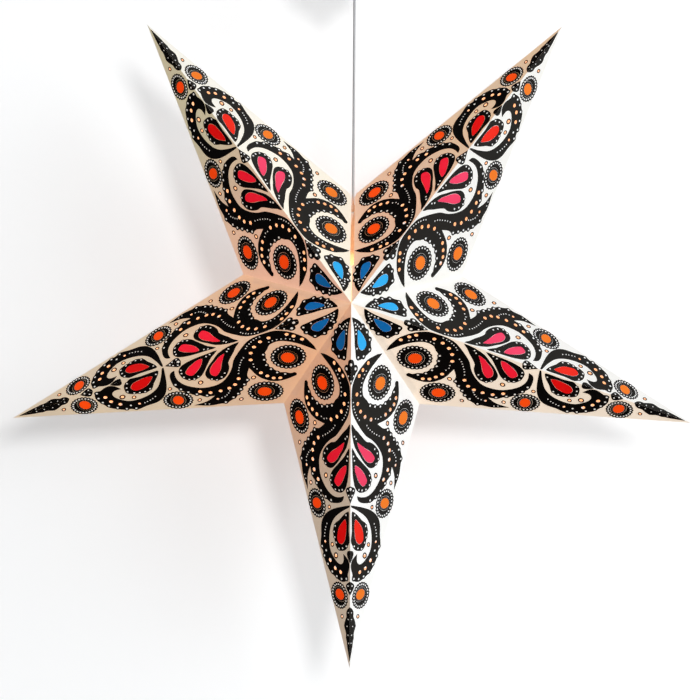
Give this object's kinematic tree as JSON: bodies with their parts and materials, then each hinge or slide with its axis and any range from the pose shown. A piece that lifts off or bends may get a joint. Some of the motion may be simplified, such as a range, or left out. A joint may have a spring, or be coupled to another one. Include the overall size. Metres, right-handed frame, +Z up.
{
  "type": "paper star lantern",
  "caption": "Hanging five-pointed star lantern folded from printed card, lit from inside, on a thin cord under a small ceiling rose.",
  "frame": {"origin": "middle of the flat face that lies against the ceiling, on the cord's axis", "axes": "+Z up into the ceiling, -Y towards the front of the star, +X to the right seen from the front"},
  "size_m": [0.5706, 0.18, 0.608],
  "materials": {
    "star_paper": "matte",
    "black_ink": "matte",
    "orange_ink": "matte",
    "red_ink": "matte",
    "blue_ink": "matte",
    "cord_sheath": "satin",
    "holder_plastic": "satin",
    "insert_moulding": "matte",
    "contact_brass": "polished",
    "bulb_glass": "frosted",
    "rose_plastic": "satin",
    "plate_steel": "satin",
    "screw_steel": "satin",
    "terminal_nylon": "satin"
  },
  "bodies": {
    "root": {"point_upper_right": "star_paper", "point_upper_left": "star_paper", "point_left": "star_paper", "point_bottom": "star_paper", "point_right": "star_paper", "black_print_upper_right": "black_ink", "black_print_upper_left": "black_ink", "black_print_left": "black_ink", "black_print_bottom": "black_ink", "black_print_right": "black_ink", "orange_print_upper_right": "orange_ink", "orange_print_upper_left": "orange_ink", "orange_print_left": "orange_ink", "orange_print_bottom": "orange_ink", "orange_print_right": "orange_ink", "red_print_upper_right": "red_ink", "red_print_upper_left": "red_ink", "red_print_left": "red_ink", "red_print_bottom": "red_ink", "red_print_right": "red_ink", "blue_print_upper_right": "blue_ink", "blue_print_upper_left": "blue_ink", "blue_print_left": "blue_ink", "blue_print_bottom": "blue_ink", "blue_print_right": "blue_ink", "flex": "cord_sheath", "cord_grip": "holder_plastic", "holder_cap": "holder_plastic", "holder_skirt": "holder_plastic", "holder_insert": "insert_moulding", "thread_shell": "contact_brass", "centre_contact": "contact_brass", "bulb": "bulb_glass", "rose_cup": "rose_plastic", "rose_plate": "plate_steel", "rose_gland": "rose_plastic", "gland_nut": "screw_steel", "grip_screw": "screw_steel", "terminal_block": "terminal_nylon"}
  },
  "joints": []
}
